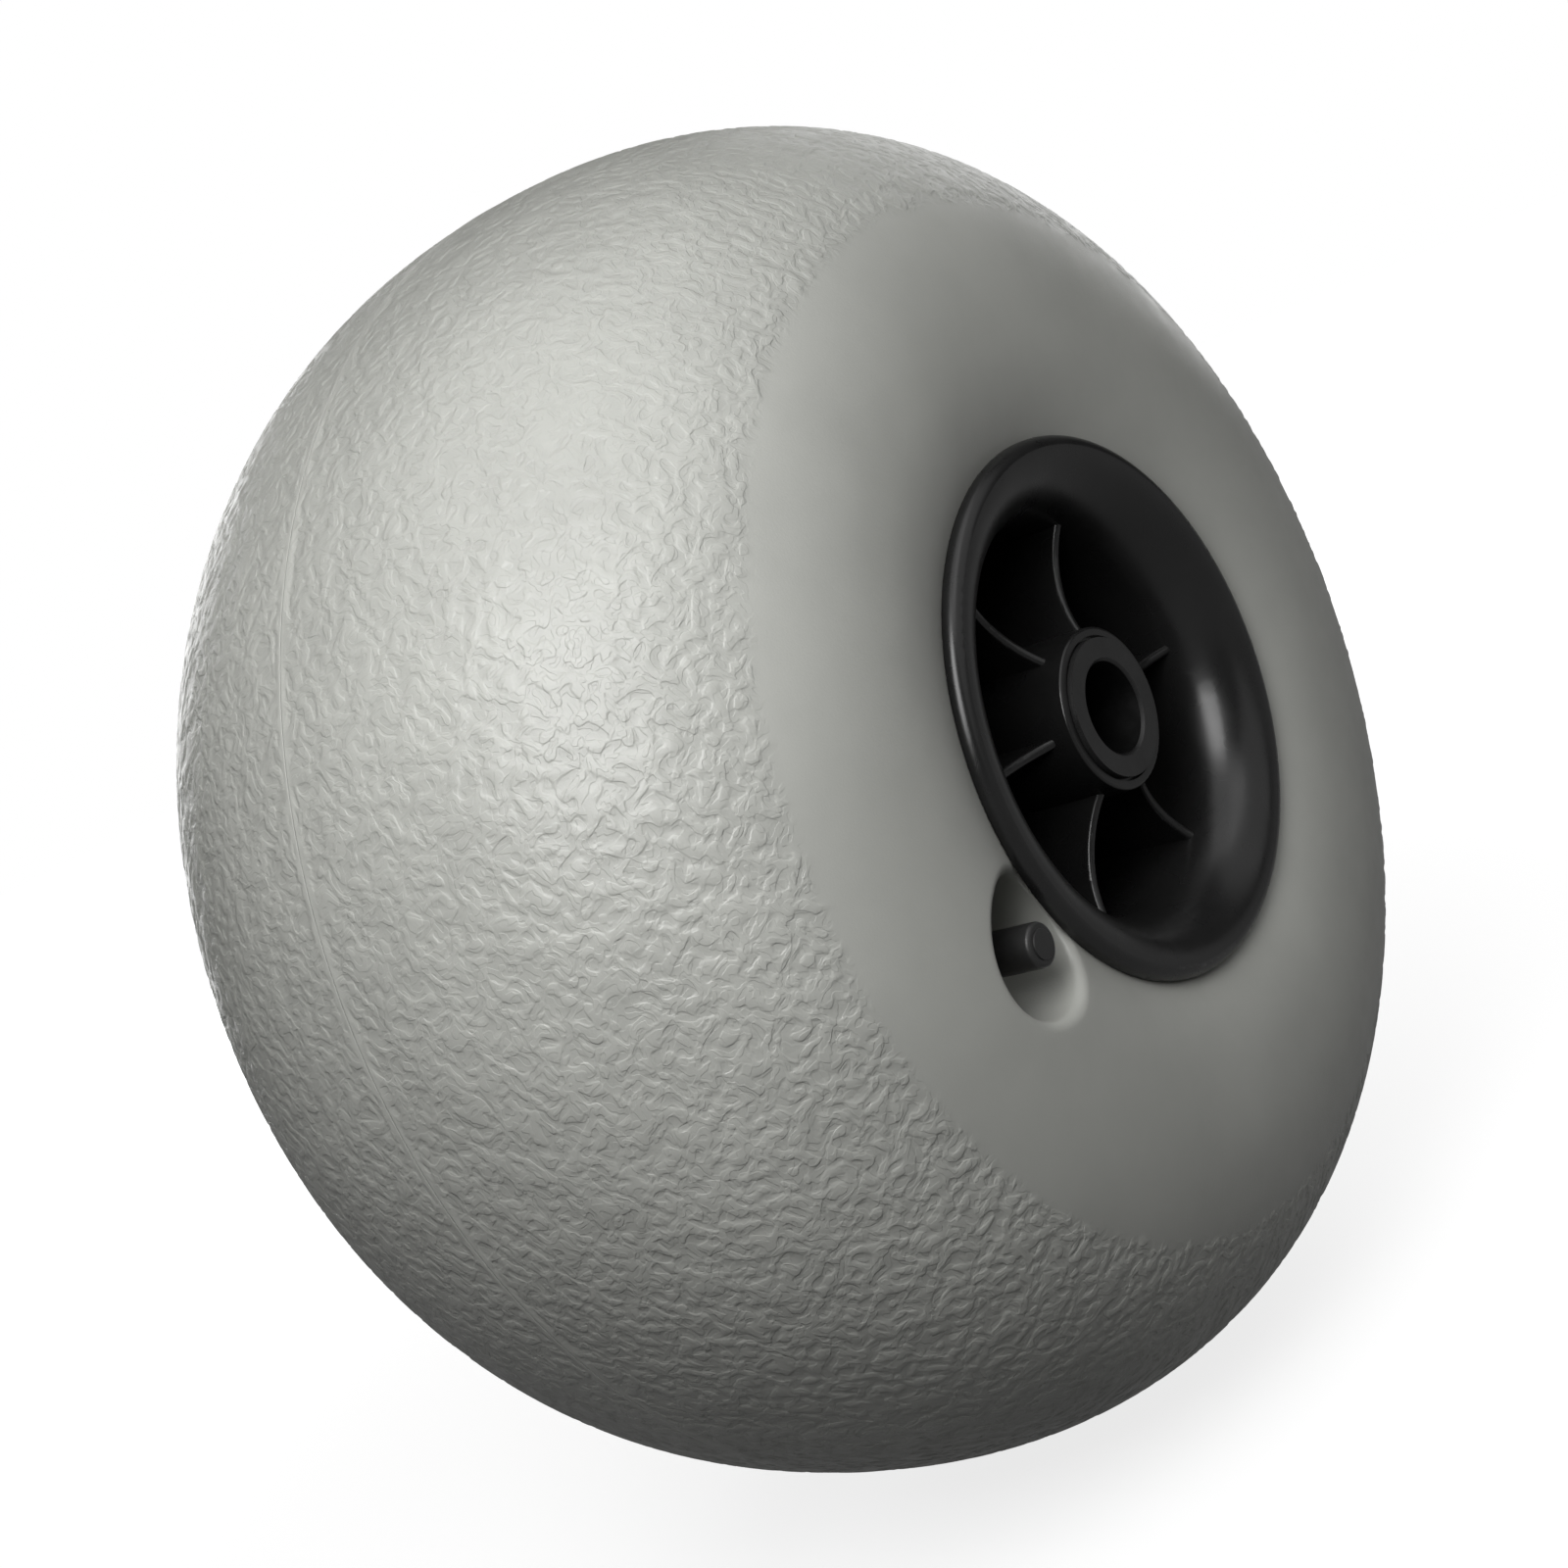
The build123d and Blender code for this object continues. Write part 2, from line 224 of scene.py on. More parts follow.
def wave_triads(length, count, variation):
    """Turn, wavelength and phases of groups of three plane waves at right angles to each other."""
    triads = []
    for _ in range(count):
        turn = tuple(rng.uniform(-math.pi, math.pi, 3))
        shift = tuple(rng.uniform(0, 2 * math.pi, 3))
        triads.append((turn, length * float(rng.uniform(1 - variation, 1 + variation)), shift))
    return triads


ISLANDS = wave_triads(ISLAND_LENGTH, count=6, variation=0.16)
PATCHES = wave_triads(PATCH_LENGTH, count=3, variation=0.3)
BENDS = wave_triads(BEND_LENGTH, count=2, variation=0.2)
WRINKLES = wave_triads(WRINKLE_LENGTH, count=5, variation=0.25)


def smooth(low, high, value):
    """Smoothstep, as the Map Range node has it."""
    share = np.clip((value - low) / (high - low), 0, 1)
    return share * share * (3 - 2 * share)


def sines(points, triad):
    """The three waves of a triad at points in millimetres."""
    turn, length, shift = triad
    spun = points @ np.array(Euler(turn).to_matrix()).T
    return np.sin(spun * (2 * math.pi / length) + np.array(shift))


def spread(triads):
    """Standard deviation of the sum of triads."""
    return math.sqrt(1.5 * len(triads))


def grain(points):
    """Field of the grain, about 0 with a spread near 1: islands are where it is high."""
    bent = points + BEND_REACH * sum(sines(points, triad) for triad in BENDS)
    islands = sum(sines(bent, triad).sum(1) for triad in ISLANDS) / spread(ISLANDS)
    return islands + PATCH_SHARE * sum(sines(bent, triad).sum(1) for triad in PATCHES) / spread(PATCHES)


def relief(points):
    """Height of the grain over the smooth skin."""
    radius = np.hypot(points[:, 0], points[:, 2])
    reach = smooth(-RELIEF_FADE, RELIEF_FADE, radius - RELIEF_EDGE)
    island = smooth(*RELIEF_RANGE, grain(points) - EDGE_DROP * (1 - reach))
    return RELIEF_HEIGHT * island * np.clip(reach * FADE_GAIN, 0, 1)


def circle(columns):
    """Cosines and sines of even steps round the axle or round the valve."""
    angle = np.arange(columns) * 2 * math.pi / columns
    return np.cos(angle), np.sin(angle)


def crown(inset):
    """Section from the tread's middle to the sidewall's crest, as a fine polyline of (radius, height)."""
    turn = np.linspace(0, math.pi / 2, CROWN_POINTS)
    share = 2 / CROWN_POWER
    radius = CREST_RADIUS + (TYRE_RADIUS - CREST_RADIUS - inset) * np.cos(turn).clip(0) ** share
    return radius, (CREST_HEIGHT - inset) * np.sin(turn) ** share


def sidewall(radius, inset):
    """Height of the sidewall at a radius inside the tread's edge."""
    line_radius, line_height = crown(inset)
    outer = np.interp(radius, line_radius[::-1], line_height[::-1])
    reach = DIP_RADIUS - inset
    inner = CREST_HEIGHT - DIP_RADIUS + np.sqrt(np.maximum(reach**2 - (CREST_RADIUS - radius) ** 2, 0))
    return np.where(radius > CREST_RADIUS, outer, inner)


def bead_meeting():
    """Radius where the sidewall meets the hub's flare, and the flare's angle there."""
    turn = np.linspace(0, math.pi / 2, BELL_POINTS)
    radius = BELL_CENTER[0] - BELL_REACH * np.cos(turn)
    height = BELL_CENTER[1] + BELL_RISE * np.sin(turn)
    index = int(np.argmax(height > sidewall(radius, 0)))
    return float(radius[index]), float(turn[index])


class Shell:
    """A closed mesh, gathered ring by ring. side is -1 for the valve side and 1 for the other."""

    def __init__(self, side):
        self.side = side
        self.points = []
        self.count = 0
        self.faces = []

    def add(self, points):
        first = self.count
        self.points.append(points)
        self.count += len(points)
        return list(range(first, self.count))

    def ring(self, radius, height, columns):
        cos, sin = circle(columns)
        flat = np.full(columns, self.side * height)
        return self.add(np.stack([radius * cos, flat, radius * sin], 1))

    def wall_ring(self, radius, inset, columns):
        return self.ring(radius, float(sidewall(radius, inset)), columns)

    def join(self, a, b):
        """Quads between two rings of one count, or triangles where the counts differ."""
        if len(a) == len(b):
            around = a[1:] + a[:1], b[1:] + b[:1]
            self.faces += list(zip(a, around[0], around[1], b))
            return b
        i = j = 0
        while i < len(a) or j < len(b):
            if j >= len(b) or (i < len(a) and (i + 1) * len(b) <= (j + 1) * len(a)):
                self.faces.append((a[i % len(a)], a[(i + 1) % len(a)], b[j % len(b)]))
                i += 1
            else:
                self.faces.append((a[i % len(a)], b[(j + 1) % len(b)], b[j % len(b)]))
                j += 1
        return b

    def chain(self, point_rings):
        """Add rings of points one after another, joined, and return the first and the last."""
        rings = [self.add(ring) for ring in point_rings]
        for a, b in zip(rings, rings[1:]):
            self.join(a, b)
        return rings[0], rings[-1]

    def mesh(self, name):
        data = bpy.data.meshes.new(name)
        data.from_pydata((np.concatenate(self.points) * MM).tolist(), [], self.faces)
        edit = bmesh.new()
        edit.from_mesh(data)
        bmesh.ops.recalc_face_normals(edit, faces=edit.faces)
        edit.to_mesh(data)
        edit.free()
        data.shade_smooth()
        made = bpy.data.objects.new(name, data)
        bpy.context.collection.objects.link(made)
        return made


def tread(shell):
    """Rows of fine quads over the tread, raised by the relief, and the seam along the mid-plane."""
    line_radius, line_height = crown(0)
    length = np.concatenate([[0], np.cumsum(np.hypot(np.diff(line_radius), np.diff(line_height)))])
    end = np.interp(-TREAD_END, -line_radius, length)
    rows = np.linspace(TREAD_START, end, int((end - TREAD_START) / TREAD_STEP) + 1)
    stations = np.array(list(SEAM_STATIONS) + list(rows))
    radius = np.interp(stations, length, line_radius)
    height = np.interp(stations, length, line_height)
    ahead = np.stack([np.interp(stations + TANGENT_STEP, length, v) for v in (line_radius, line_height)])
    behind = np.stack([np.interp(stations - TANGENT_STEP, length, v) for v in (line_radius, line_height)])
    along = ahead - behind
    along /= np.linalg.norm(along, axis=0)
    out_radius, out_height = along[1], -along[0]
    out_radius[0], out_height[0] = 1, 0
    cos, sin = circle(TREAD_COLUMNS)
    rings = []
    for r, h, nr, nh, station in zip(radius, height, out_radius, out_height, stations):
        base = np.stack([r * cos, np.full(TREAD_COLUMNS, shell.side * h), r * sin], 1)
        normal = np.stack([nr * cos, np.full(TREAD_COLUMNS, shell.side * nh), nr * sin], 1)
        sunk = RELIEF_HEIGHT / 2 * smooth(-RELIEF_FADE, RELIEF_FADE, r - RELIEF_EDGE)
        share = smooth(SEAM_FLAT, SEAM_EDGE, station)
        raised = (relief(base) - sunk) * share + SEAM_HEIGHT * (1 - share)
        rings.append(base + normal * raised[:, None])
    return shell.chain(rings)


def pocket_rings(inset, mouth_round):
    """Rings of the valve pocket, from its mouth in the sidewall down to the valve's hole."""
    cos, sin = circle(POCKET_COLUMNS)

    def wall_height(reach):
        return sidewall(np.hypot(POCKET_X + reach * cos, POCKET_Z + reach * sin), inset)

    def ring(reach, height):
        flat = np.zeros(POCKET_COLUMNS) - height
        return np.stack([POCKET_X + reach * cos, flat, POCKET_Z + reach * sin], 1)

    floor = POCKET_FLOOR - inset
    radius = POCKET_RADIUS + inset
    mouth = radius + POCKET_DRAFT * (CREST_HEIGHT - POCKET_RIM_DROP - POCKET_FLOOR)
    rings = []
    for turn in np.radians(np.linspace(90, 0, POCKET_MOUTH_STEPS)):
        reach = mouth + mouth_round * (1 - math.cos(turn))
        rings.append(ring(reach, wall_height(reach) - mouth_round * (1 - math.sin(turn))))
    top = wall_height(mouth) - mouth_round
    foot = floor + POCKET_FLOOR_ROUND
    for share in POCKET_WALL_SHARES:
        rings.append(ring(mouth + (radius - mouth) * share, top + (foot - top) * share))
    for turn in np.radians(np.linspace(90, 0, POCKET_FLOOR_STEPS)):
        reach = radius - POCKET_FLOOR_ROUND * (1 - math.sin(turn))
        rings.append(ring(reach, floor + POCKET_FLOOR_ROUND * (1 - math.cos(turn))))
    for reach in (VALVE_SEAT, VALVE_HOLE):
        rings.append(ring(reach, floor))
    return rings


def loose_points(radii, columns, reach, mouth_columns):
    """Points (x, z) between the sidewall's rings, around the pocket's mouth, whose radius is reach."""
    center = np.array([POCKET_X, POCKET_Z])
    loose = np.concatenate([radius * np.stack(circle(columns), 1) for radius in radii[1:-1]])
    loose = loose[np.linalg.norm(loose - center, axis=1) > reach + MOUTH_CLEAR]
    around = np.stack(circle(mouth_columns), 1)
    loose = np.concatenate([loose] + [center + (reach + step) * around for step in MOUTH_STEPS])
    return loose[np.linalg.norm(loose, axis=1) > radii[-1] + RING_CLEAR]


def wall_skin(shell, start, radii, columns, inset, mouth):
    """Sidewall from start inwards: plain rings, or triangles around the pocket's mouth."""
    if mouth is None:
        for radius in radii:
            start = shell.join(start, shell.wall_ring(radius, inset, columns))
        return start
    outer = shell.join(start, shell.wall_ring(radii[0], inset, columns))
    inner = shell.wall_ring(radii[-1], inset, columns)
    rim = np.concatenate(shell.points)[mouth[0]]
    reach = np.hypot(rim[0] - POCKET_X, rim[2] - POCKET_Z)
    loose = loose_points(radii, columns, reach, len(mouth))
    heights = -sidewall(np.linalg.norm(loose, axis=1), inset)
    order = outer + inner + mouth + shell.add(np.stack([loose[:, 0], heights, loose[:, 1]], 1))
    known = np.concatenate(shell.points)
    flat = [Vector((known[i, 0], known[i, 2])) for i in order]
    edges = []
    first = 0
    for loop in (outer, inner, mouth):
        edges += [(first + i, first + (i + 1) % len(loop)) for i in range(len(loop))]
        first += len(loop)
    found, _, faces, origins, _, _ = delaunay_2d_cdt(flat, edges, [], 0, MERGE_DISTANCE)
    source = [order[origin[0]] for origin in origins]
    center = Vector((POCKET_X, POCKET_Z))
    for face in faces:
        middle = sum((found[i] for i in face), Vector((0, 0))) / len(face)
        if middle.length >= radii[-1] * IN_RING and (middle - center).length >= reach * IN_MOUTH:
            shell.faces.append(tuple(source[i] for i in face))
    return inner


def tyre_half(name, side):
    """One moulded half of the tyre's skin: outside, lining, and the rims where the halves meet."""
    shell = Shell(side)
    outside_rim, edge = tread(shell)
    mouth = lining_mouth = None
    if side < 0:
        mouth, hole = shell.chain(pocket_rings(0, POCKET_MOUTH_ROUND))
    for radius, columns in THINNING_RINGS:
        edge = shell.join(edge, shell.wall_ring(radius, 0, columns))
    meeting_radius, meeting_turn = bead_meeting()
    radii = np.linspace(SKIN_START, meeting_radius, SKIN_RINGS)
    edge = wall_skin(shell, edge, radii, SKIN_COLUMNS, 0, mouth)
    for turn in np.linspace(meeting_turn, 0, BELL_STEPS)[1:]:
        radius = BELL_CENTER[0] - BELL_REACH * math.cos(turn)
        height = BELL_CENTER[1] + BELL_RISE * math.sin(turn)
        edge = shell.join(edge, shell.ring(radius, height, LINING_COLUMNS))
    edge = shell.join(edge, shell.ring(BORE_RADIUS, BORE_HEIGHT, LINING_COLUMNS))
    bore_rim = shell.join(edge, shell.ring(BORE_RADIUS, 0, LINING_COLUMNS))
    line_radius, line_height = crown(WALL)
    inside_rim = edge = shell.ring(TYRE_RADIUS - WALL, 0, LINING_COLUMNS)
    for index in LINING_CROWN:
        edge = shell.join(edge, shell.ring(line_radius[index], line_height[index], LINING_COLUMNS))
    if side < 0:
        lining_mouth, lining_hole = shell.chain(pocket_rings(WALL, LINING_MOUTH_ROUND))
        shell.join(hole, lining_hole)
    inner_bore = BORE_RADIUS + WALL
    radii = np.linspace(LINING_START, inner_bore, LINING_RINGS)
    edge = wall_skin(shell, edge, radii, LINING_COLUMNS, WALL, lining_mouth)
    edge = shell.join(edge, shell.ring(inner_bore, BORE_HEIGHT, LINING_COLUMNS))
    shell.join(edge, shell.join(bore_rim, shell.ring(inner_bore, 0, LINING_COLUMNS)))
    shell.join(outside_rim, inside_rim)
    return shell.mesh(name)


def spring_coil(name):
    """The spring as a mesh of its own, coiled round the valve's axis."""
    cos, sin = circle(SPRING_SIDES)
    radius = SPRING_COIL + SPRING_WIRE * cos
    rings = []
    for share in np.linspace(0, 1, SPRING_STEPS + 1):
        turn = share * SPRING_TURNS * 2 * math.pi
        x = POCKET_X + radius * math.cos(turn)
        z = POCKET_Z + radius * math.sin(turn)
        level = SPRING_LOW + (SPRING_HIGH - SPRING_LOW) * share
        rings.append(np.stack([x, -(POCKET_FLOOR + level + SPRING_WIRE * sin), z], 1))
    shell = Shell(-1)
    first, last = shell.chain(rings)
    shell.faces += [tuple(first), tuple(last)]
    return shell.mesh(name)


# Materials


class Graph:
    """Adds nodes to a tree. A value may be a number, a colour or another node's output."""

    def __init__(self, tree):
        self.tree = tree

    def add(self, kind, links=None, **settings):
        node = self.tree.nodes.new(kind)
        for key, value in settings.items():
            setattr(node, key, value)
        for key, value in (links or {}).items():
            self.feed(node.inputs[key], value)
        return node

    def feed(self, socket, value):
        if isinstance(value, bpy.types.NodeSocket):
            self.tree.links.new(value, socket)
        else:
            socket.default_value = value

    def math(self, operation, a, b=0.0, c=0.0):
        return self.add("ShaderNodeMath", {0: a, 1: b, 2: c}, operation=operation).outputs[0]

    def remap(self, value, low, high, to_low=0.0, to_high=1.0, kind="LINEAR"):
        limits = {"From Min": low, "From Max": high, "To Min": to_low, "To Max": to_high}
        node = self.add("ShaderNodeMapRange", {"Value": value, **limits}, interpolation_type=kind)
        return node.outputs["Result"]

    def blend(self, share, a, b):
        node = self.add("ShaderNodeMix", data_type="RGBA")
        for socket, value in ((node.inputs[0], share), (node.inputs[6], a), (node.inputs[7], b)):
            self.feed(socket, value)
        return node.outputs[2]


class Finish(Graph):
    """A procedural material on a Principled shader. Coordinates are the object's own, in metres."""

    def __init__(self, name):
        self.material = bpy.data.materials.new(name)
        self.material.use_nodes = True
        super().__init__(self.material.node_tree)
        self.shader = self.tree.nodes["Principled BSDF"]
        self.place = self.add("ShaderNodeTexCoord").outputs["Object"]

    def set(self, **values):
        for key, value in values.items():
            self.feed(self.shader.inputs[key.replace("_", " ")], value)

    def noise(self, size, detail=3.0, roughness=0.5):
        """Noise between 0 and 1 whose blotches are about size millimetres."""
        links = {"Vector": self.place, "Scale": 1 / MM / size, "Detail": detail, "Roughness": roughness}
        return self.add("ShaderNodeTexNoise", links).outputs["Fac"]

    def bump(self, height, distance, below=None):
        """Bump whose height runs from 0 to 1 over distance millimetres, on top of another bump."""
        links = {"Height": height, "Distance": distance * MM}
        if below is not None:
            links["Normal"] = below
        return self.add("ShaderNodeBump", links).outputs["Normal"]

    def axle_distance(self):
        split = self.add("ShaderNodeSeparateXYZ", {"Vector": self.place}).outputs
        flat = self.add("ShaderNodeCombineXYZ", {"X": split["X"], "Z": split["Z"]}).outputs[0]
        return self.add("ShaderNodeVectorMath", {0: flat}, operation="LENGTH").outputs["Value"]

    def seam_distance(self):
        split = self.add("ShaderNodeSeparateXYZ", {"Vector": self.place}).outputs
        return self.math("ABSOLUTE", split["Y"])

    def sines(self, place, triad):
        """The same waves as the mesh has, at a place in metres."""
        turn, length, shift = triad
        scale = (2 * math.pi / (length * MM),) * 3
        links = {"Vector": place, "Scale": scale, "Rotation": turn, "Location": shift}
        spun = self.add("ShaderNodeMapping", links).outputs[0]
        return self.add("ShaderNodeVectorMath", {0: spun}, operation="SINE").outputs[0]

    def wave_sum(self, place, triads, share):
        """Sum of triads over its spread, times share."""
        weight = (share / spread(triads),) * 3
        total = 0.0
        for triad in triads:
            links = {0: self.sines(place, triad), 1: weight}
            waves = self.add("ShaderNodeVectorMath", links, operation="DOT_PRODUCT").outputs["Value"]
            total = self.math("ADD", waves, total)
        return total

    def moulded(self, tones, roughness, grain, grain_height, patch=12.0, detail=3.0):
        """Set two tones in patches, roughness between two values, and a fine grain. Return the tone."""
        tone = self.blend(self.remap(self.noise(patch, detail=4, roughness=0.6), *NOISE_MIDDLE), *tones)
        rough = self.remap(self.noise(patch / 3, detail), *NOISE_MIDDLE, *roughness)
        normal = self.bump(self.noise(grain, detail), grain_height)
        self.set(Base_Color=tone, Roughness=rough, Normal=normal)
        return tone


def grey(level):
    return (level, level, level, 1)


def putty(level):
    """Light grey with a slight green and yellow cast, as the tyre's plastic has."""
    return tuple(level * share for share in PUTTY) + (1,)


def tyre_finish():
    """The tread's grain as fine bump over its relief, paler on the seam and with painted shade in
    creases.
    """
    finish = Finish("tyre_polyurethane")
    bent = finish.place
    for triad in BENDS:
        links = {0: finish.sines(finish.place, triad), 1: (BEND_REACH * MM,) * 3, 2: bent}
        bent = finish.add("ShaderNodeVectorMath", links, operation="MULTIPLY_ADD").outputs[0]
    islands = finish.wave_sum(bent, ISLANDS, 1)
    field = finish.math("ADD", islands, finish.wave_sum(bent, PATCHES, PATCH_SHARE))
    edge = ((RELIEF_EDGE - RELIEF_FADE) * MM, (RELIEF_EDGE + RELIEF_FADE) * MM)
    reach = finish.remap(finish.axle_distance(), *edge, kind="SMOOTHSTEP")
    field = finish.math("ADD", field, finish.remap(reach, 0, 1, -EDGE_DROP, 0))
    seam = (SEAM_FLAT * MM, SEAM_EDGE * MM)
    off_seam = finish.remap(finish.seam_distance(), *seam, kind="SMOOTHSTEP")
    textured = finish.math("MINIMUM", finish.math("MULTIPLY", reach, FADE_GAIN), 1)
    textured = finish.math("MULTIPLY", textured, off_seam)
    scarp = finish.math("MULTIPLY", finish.remap(field, *SCARP_RANGE, kind="SMOOTHSTEP"), textured)
    wrinkle = finish.remap(finish.wave_sum(bent, WRINKLES, 1), *WRINKLE_RANGE, kind="SMOOTHSTEP")
    wrinkle = finish.math("MULTIPLY", wrinkle, textured)
    # Painted shade in the creases: the tone darkens where the grain's field is low
    crease_shade = finish.remap(field, *CREASE_SHADE_RANGE, CREASE_SHADE_SHARE, 0, kind="SMOOTHSTEP")
    crease_shade = finish.math("MULTIPLY", crease_shade, textured)
    cloud = finish.remap(finish.noise(CLOUD_SIZE, detail=4, roughness=0.55), *NOISE_WIDE)
    tone = finish.blend(cloud, putty(SKIN_LEVELS[0]), putty(SKIN_LEVELS[1]))
    tone = finish.blend(crease_shade, tone, putty(CREASE_SHADE_LEVEL))
    tone = finish.blend(finish.remap(off_seam, 0, 1, SEAM_SHARE, 0), tone, putty(SEAM_LEVEL))
    rough = finish.remap(finish.noise(SHEEN_SIZE, detail=5, roughness=0.6), *NOISE_WIDE, *SKIN_ROUGHNESS)
    normal = finish.bump(finish.noise(PORE_SIZE, detail=4, roughness=0.6), PORE_HEIGHT)
    normal = finish.bump(finish.noise(WAVE_SIZE, detail=2, roughness=0.4), WAVE_HEIGHT, normal)
    height = finish.math("MULTIPLY", scarp, SCARP_HEIGHT)
    height = finish.math("MULTIPLY_ADD", wrinkle, WRINKLE_HEIGHT, height)
    finish.set(Base_Color=tone, Roughness=rough, IOR=PLASTIC_IOR, Normal=finish.bump(height, 1, normal))
    return finish.material


def plain_finish(name, tones, roughness, grain, grain_height, patch=12.0, detail=3.0, **values):
    finish = Finish(name)
    finish.moulded(tones, roughness, grain, grain_height, patch, detail)
    finish.set(**values)
    return finish.material


def bush_finish():
    """Black plastic with painted shade that darkens the axle bore."""
    finish = Finish("bush_black_plastic")
    tone = finish.moulded((grey(0.013), grey(0.018)), (0.38, 0.48), grain=1.2, grain_height=0.02)
    # Painted shade: inside these radii the bore's tone goes nearly black
    bore_shade = finish.remap(finish.axle_distance(), BORE_SHADE_RADII[0] * MM, BORE_SHADE_RADII[1] * MM, 1, 0)
    finish.set(Base_Color=finish.blend(bore_shade, tone, grey(0.003)), IOR=PLASTIC_IOR)
    return finish.material


finishes = {
    "tyre": tyre_finish(),
    "hub": plain_finish(
        "hub_black_plastic", (grey(0.008), grey(0.012)), (0.26, 0.31),
        grain=16.0, grain_height=0.04, patch=30.0, detail=1.0, IOR=PLASTIC_IOR,
    ),
    "bush": bush_finish(),
    "valve_rubber": plain_finish(
        "valve_rubber", (grey(0.02), grey(0.03)), (0.5, 0.62), grain=0.5, grain_height=0.02
    ),
    "valve_brass": plain_finish(
        "valve_brass", ((0.72, 0.52, 0.22, 1), (0.62, 0.43, 0.18, 1)), (0.22, 0.34),
        grain=0.4, grain_height=0.01, Metallic=1.0,
    ),
    "seal": plain_finish(
        "seal_rubber", (grey(0.02), grey(0.028)), (0.5, 0.6), grain=0.4, grain_height=0.01
    ),
    "spring_steel": plain_finish(
        "spring_steel", (grey(0.5), grey(0.42)), (0.25, 0.35),
        grain=0.3, grain_height=0.005, Metallic=1.0,
    ),
    "valve_cap": plain_finish(
        "valve_cap_plastic", (grey(0.016), grey(0.024)), (0.34, 0.46), grain=0.5, grain_height=0.015
    ),
}

slot_of = {piece["node"]: piece["material_slot"] for piece in frame["record"]["subparts"]}
for name, node in nodes.items():
    node.data.materials.clear()
    node.data.materials.append(finishes[slot_of[name]])

for name, side in (("tyre_front_half", -1), ("tyre_rear_half", 1)):
    half = tyre_half(name, side)
    half.data.materials.append(finishes["tyre"])
    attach(half, "wheel")
    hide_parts("tyre")

coil = spring_coil("valve_spring_coil")
coil.data.materials.append(finishes["spring_steel"])
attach(coil, "wheel")
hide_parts("valve_spring")
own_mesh(coil)

# Studio


def floor_finish():
    """A pale glow for the camera and for reflections, over a dull grey that takes the shadow."""
    material = bpy.data.materials.new("floor_white")
    material.use_nodes = True
    graph = Graph(material.node_tree)
    graph.tree.nodes.clear()
    rays = graph.add("ShaderNodeLightPath").outputs
    spot = graph.add("ShaderNodeNewGeometry").outputs["Position"]
    away = graph.add("ShaderNodeVectorMath", {0: spot}, operation="LENGTH").outputs["Value"]
    levels = (FLOOR_SEEN - FLOOR_MIRRORED, 1 - FLOOR_MIRRORED)
    fade = graph.remap(away, FLOOR_NEAR, FLOOR_FAR, *levels, kind="SMOOTHSTEP")
    either = graph.math("MAXIMUM", rays["Is Camera Ray"], rays["Is Glossy Ray"])
    mirrored = graph.math("MULTIPLY", either, FLOOR_MIRRORED)
    shine = graph.math("MULTIPLY_ADD", rays["Is Camera Ray"], fade, mirrored)
    glow = graph.add("ShaderNodeEmission", {"Strength": shine}).outputs[0]
    tint = graph.blend(rays["Is Camera Ray"], grey(FLOOR_BOUNCE), grey(FLOOR_GREY))
    matte = graph.add("ShaderNodeBsdfDiffuse", {"Color": tint}).outputs[0]
    both = graph.add("ShaderNodeAddShader", {0: glow, 1: matte}).outputs[0]
    graph.add("ShaderNodeOutputMaterial", {"Surface": both})
    return material


def studio_world():
    """White behind everything, with almost no light of its own."""
    world = bpy.data.worlds.new("studio")
    world.use_nodes = True
    graph = Graph(world.node_tree)
    rays = graph.add("ShaderNodeLightPath").outputs
    seen = graph.math("MAXIMUM", rays["Is Camera Ray"], rays["Is Transmission Ray"])
    background = graph.tree.nodes["Background"].inputs
    graph.feed(background["Color"], grey(1))
    graph.feed(background["Strength"], graph.remap(seen, 0, 1, WORLD_LIGHT, 1))
    return world


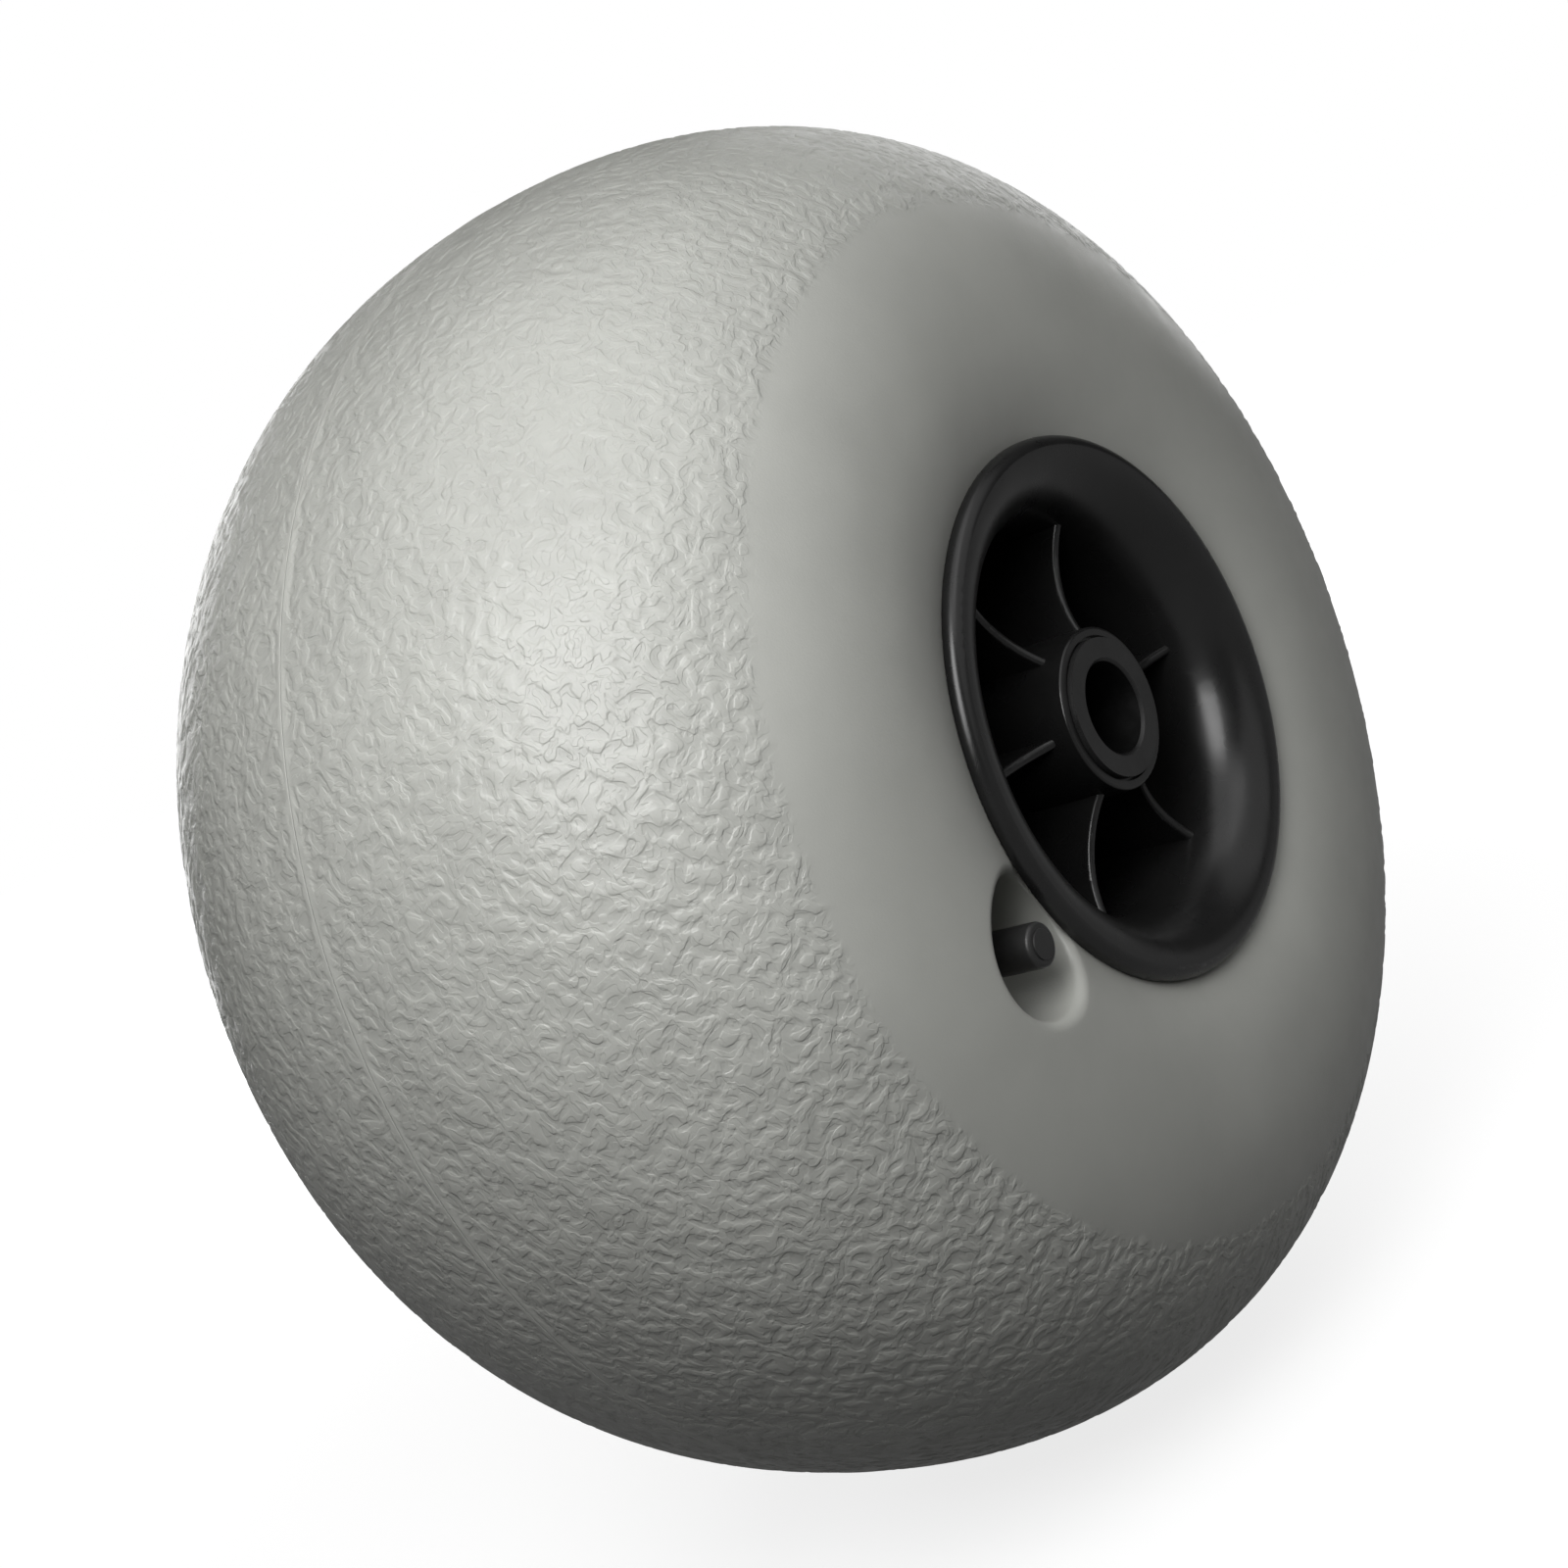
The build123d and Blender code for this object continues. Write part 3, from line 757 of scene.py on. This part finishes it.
def soft_box(name, direction, distance, side, power):
    """A square lamp that faces the wheel's centre."""
    data = bpy.data.lights.new(name, "AREA")
    data.size = side
    data.energy = power
    made = bpy.data.objects.new(name, data)
    away = Vector(direction).normalized()
    made.location = away * distance
    made.rotation_euler = away.to_track_quat("Z", "Y").to_euler()
    bpy.context.collection.objects.link(made)


def camera_matrix():
    """Camera's place and turn, worked out with the axle as z and then brought to the row's frame."""
    aside = math.sin(CAMERA_TILT) * CAMERA_DISTANCE
    place = Vector((aside, 0, math.cos(CAMERA_TILT) * CAMERA_DISTANCE))
    ahead = -place.normalized()
    right = (Vector((0, 0, 1)) - ahead * ahead.z).normalized()
    up = right.cross(ahead)
    ahead = (ahead + right * math.tan(CAMERA_RIGHT) + up * math.tan(CAMERA_UP)).normalized()
    right = (right - ahead * right.dot(ahead)).normalized()
    up = right.cross(ahead)
    cos, sin = math.cos(CAMERA_ROLL), math.sin(CAMERA_ROLL)
    axes = (cos * right - sin * up, sin * right + cos * up, -ahead)
    cos, sin = math.cos(WHEEL_TURN), math.sin(WHEEL_TURN)
    to_row = Matrix(((cos, -sin, 0), (0, 0, -1), (sin, cos, 0)))
    rotation = Matrix([to_row @ axis for axis in axes]).transposed()
    return Matrix.Translation(to_row @ place) @ rotation.to_4x4()


corners = [(-1, -1), (1, -1), (1, 1), (-1, 1)]
floor_mesh = bpy.data.meshes.new("floor")
floor_points = [(x * FLOOR_REACH, y * FLOOR_REACH, FLOOR_LEVEL) for x, y in corners]
floor_mesh.from_pydata(floor_points, [], [(0, 1, 2, 3)])
floor_mesh.materials.append(floor_finish())
floor = bpy.data.objects.new("floor", floor_mesh)
bpy.context.collection.objects.link(floor)

for lamp in LAMPS:
    soft_box(*lamp)

camera_data = bpy.data.cameras.new("camera")
camera_data.sensor_width = SENSOR_WIDTH
camera_data.lens = FOCAL_PIXELS * SENSOR_WIDTH / PHOTO_PIXELS
camera_data.clip_start = CLIP_START
camera = bpy.data.objects.new("camera", camera_data)
camera.matrix_world = camera_matrix()
bpy.context.collection.objects.link(camera)

scene = bpy.context.scene
scene.world = studio_world()
scene.camera = camera
scene.view_settings.view_transform = "Standard"
